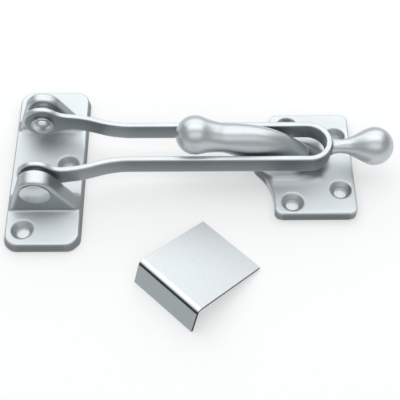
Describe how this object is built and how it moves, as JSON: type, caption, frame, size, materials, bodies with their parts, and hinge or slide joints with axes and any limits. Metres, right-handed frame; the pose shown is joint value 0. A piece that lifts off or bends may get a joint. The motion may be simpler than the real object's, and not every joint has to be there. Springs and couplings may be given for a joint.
{
  "type": "door guard",
  "caption": "Door guard with a jamb bracket, a hinged U-shaped bar with a teardrop finger knob, a door keeper with a ball on a leaning horn, and a bent sheet edge protector.",
  "frame": {"origin": "centre of the jamb bracket's back face, on the plane of the wall", "axes": "+X from the jamb bracket to the keeper, +Y along the hinge pins, +Z out from the wall"},
  "size_m": [0.1447, 0.1067, 0.029],
  "materials": {
    "chromed_casting": "polished chrome plate on a brass casting",
    "turned_pivot": "polished chrome plate on turned brass",
    "chromed_sheet": "chrome plate on bent sheet"
  },
  "bodies": {
    "bracket": {"jamb_bracket": "chromed_casting", "pivot_pin_near": "turned_pivot", "pivot_pin_far": "turned_pivot", "pivot_spacer_near": "turned_pivot", "pivot_spacer_far": "turned_pivot", "pivot_washer_near": "turned_pivot", "pivot_washer_far": "turned_pivot", "edge_protector": "chromed_sheet"},
    "bar": {"swing_bar": "chromed_casting"},
    "keeper": {"keeper": "chromed_casting"}
  },
  "joints": [
    {"name": "bar_swing", "type": "hinge", "parent": "bracket", "child": "bar", "pos_m": [-0.00185, 0, 0.0144], "axis": [0, -1, 0], "range_deg": [0, 180]},
    {"name": "keeper_slide", "type": "slide", "parent": "bar", "child": "keeper", "axis": [-1, 0, 0], "range_m": [-0.003, 0.032]}
  ]
}
